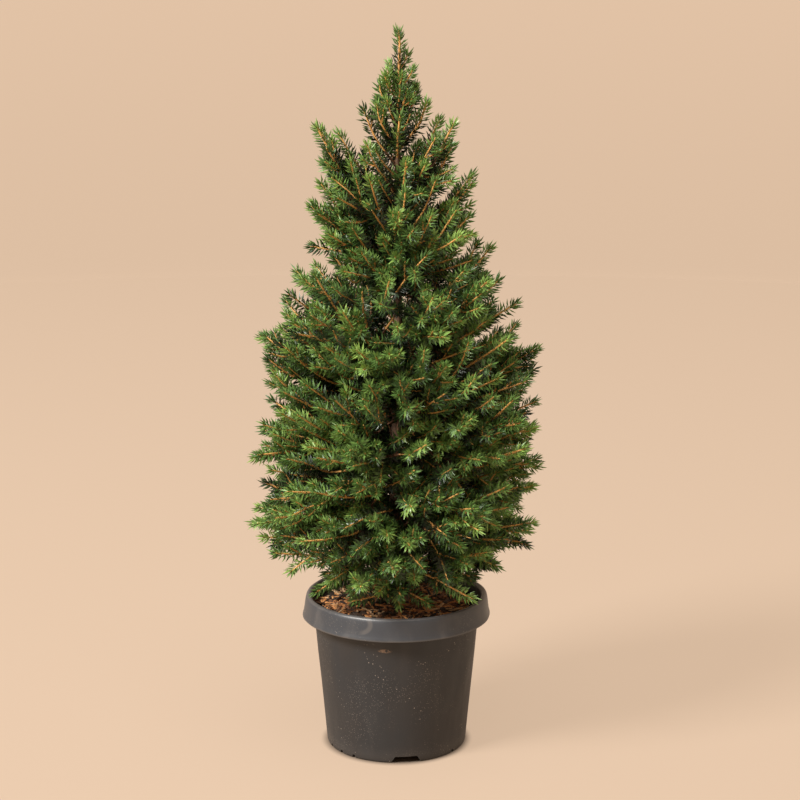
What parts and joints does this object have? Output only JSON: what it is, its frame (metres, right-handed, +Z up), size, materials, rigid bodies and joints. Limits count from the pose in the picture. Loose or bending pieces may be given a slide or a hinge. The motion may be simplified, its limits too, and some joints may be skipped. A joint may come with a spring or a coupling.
{
  "type": "potted dwarf alberta spruce",
  "caption": "Young dwarf conical spruce with dense short needles on upright shoots, in a round black nursery pot with a deep collar and bark-topped compost.",
  "frame": {"origin": "centre of the pot's underside, on the surface the pot stands on", "axes": "+Z up along the trunk, +X to the plant's right as seen from its front, which faces -Y"},
  "size_m": [0.294, 0.2905, 0.718],
  "materials": {
    "pot_plastic": "matte",
    "compost": "matte",
    "bark": "matte",
    "foliage": "satin"
  },
  "bodies": {
    "root": {"pot": "pot_plastic", "compost": "compost", "trunk": "bark", "bough_skirt_1": "bark", "foliage_skirt_1": "foliage", "bough_skirt_2": "bark", "foliage_skirt_2": "foliage", "bough_skirt_3": "bark", "foliage_skirt_3": "foliage", "bough_skirt_4": "bark", "foliage_skirt_4": "foliage", "bough_skirt_5": "bark", "foliage_skirt_5": "foliage", "bough_lower_1": "bark", "foliage_lower_1": "foliage", "bough_lower_2": "bark", "foliage_lower_2": "foliage", "bough_lower_3": "bark", "foliage_lower_3": "foliage", "bough_lower_4": "bark", "foliage_lower_4": "foliage", "bough_lower_5": "bark", "foliage_lower_5": "foliage", "bough_middle_1": "bark", "foliage_middle_1": "foliage", "bough_middle_2": "bark", "foliage_middle_2": "foliage", "bough_middle_3": "bark", "foliage_middle_3": "foliage", "bough_middle_4": "bark", "foliage_middle_4": "foliage", "bough_middle_5": "bark", "foliage_middle_5": "foliage", "bough_shoulder_1": "bark", "foliage_shoulder_1": "foliage", "bough_shoulder_2": "bark", "foliage_shoulder_2": "foliage", "bough_shoulder_3": "bark", "foliage_shoulder_3": "foliage", "bough_shoulder_4": "bark", "foliage_shoulder_4": "foliage", "bough_upper_1": "bark", "foliage_upper_1": "foliage", "bough_upper_2": "bark", "foliage_upper_2": "foliage", "bough_upper_3": "bark", "foliage_upper_3": "foliage", "bough_upper_4": "bark", "foliage_upper_4": "foliage", "bough_high_1": "bark", "foliage_high_1": "foliage", "bough_high_2": "bark", "foliage_high_2": "foliage", "bough_high_3": "bark", "foliage_high_3": "foliage", "bough_high_4": "bark", "foliage_high_4": "foliage", "foliage_top_1": "foliage", "foliage_top_2": "foliage", "foliage_leader": "foliage"}
  },
  "joints": []
}
